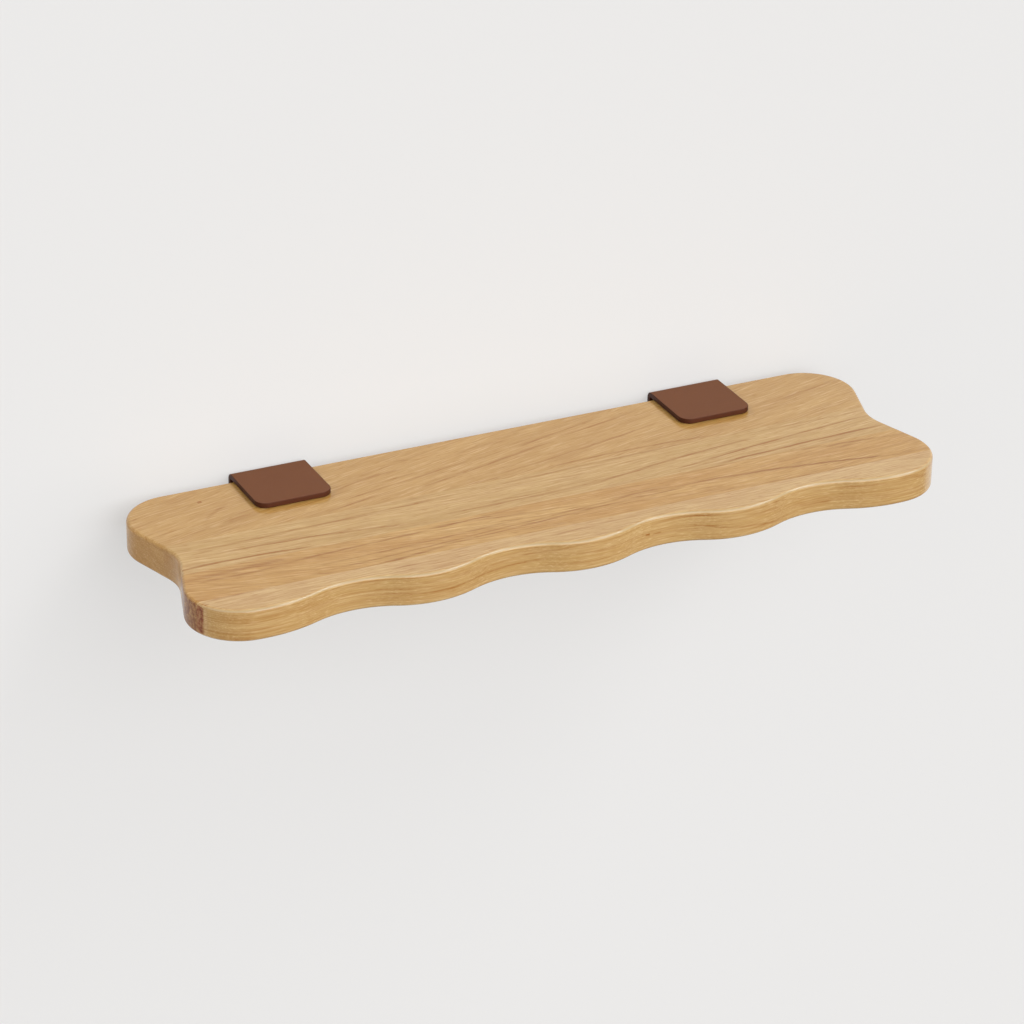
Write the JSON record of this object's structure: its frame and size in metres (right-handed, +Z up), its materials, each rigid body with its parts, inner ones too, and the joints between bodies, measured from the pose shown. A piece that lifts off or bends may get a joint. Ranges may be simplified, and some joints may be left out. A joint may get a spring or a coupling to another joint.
{
  "type": "bracket wall shelf",
  "caption": "Wavy-edged wooden wall shelf, glued up from staves and carried at its back edge by bent sheet-metal brackets that are screwed to the wall and to the underside of the board.",
  "frame": {"origin": "on the wall's surface, midway between the brackets, at the height of the wall screws", "axes": "+X along the wall to the right as seen from the room, +Y into the wall, +Z up; the shelf reaches out towards -Y"},
  "size_m": [0.6, 0.246, 0.0359],
  "materials": {
    "light_wood": "light hardwood, sanded and clear oiled, satin",
    "amber_wood": "darker heartwood of the same timber, clear oiled, satin",
    "brown_powder_coat": "fine satin powder coat, chestnut brown",
    "zinc_plated_steel": "bright zinc plating"
  },
  "bodies": {
    "root": {"back_stave": "light_wood", "rear_middle_stave": "light_wood", "front_middle_stave": "amber_wood", "front_stave": "light_wood", "left_bracket": "brown_powder_coat", "right_bracket": "brown_powder_coat", "left_wall_screw_outer": "zinc_plated_steel", "left_wall_screw_inner": "zinc_plated_steel", "right_wall_screw_inner": "zinc_plated_steel", "right_wall_screw_outer": "zinc_plated_steel", "left_board_screw_outer": "zinc_plated_steel", "left_board_screw_inner": "zinc_plated_steel", "right_board_screw_inner": "zinc_plated_steel", "right_board_screw_outer": "zinc_plated_steel"}
  },
  "joints": []
}
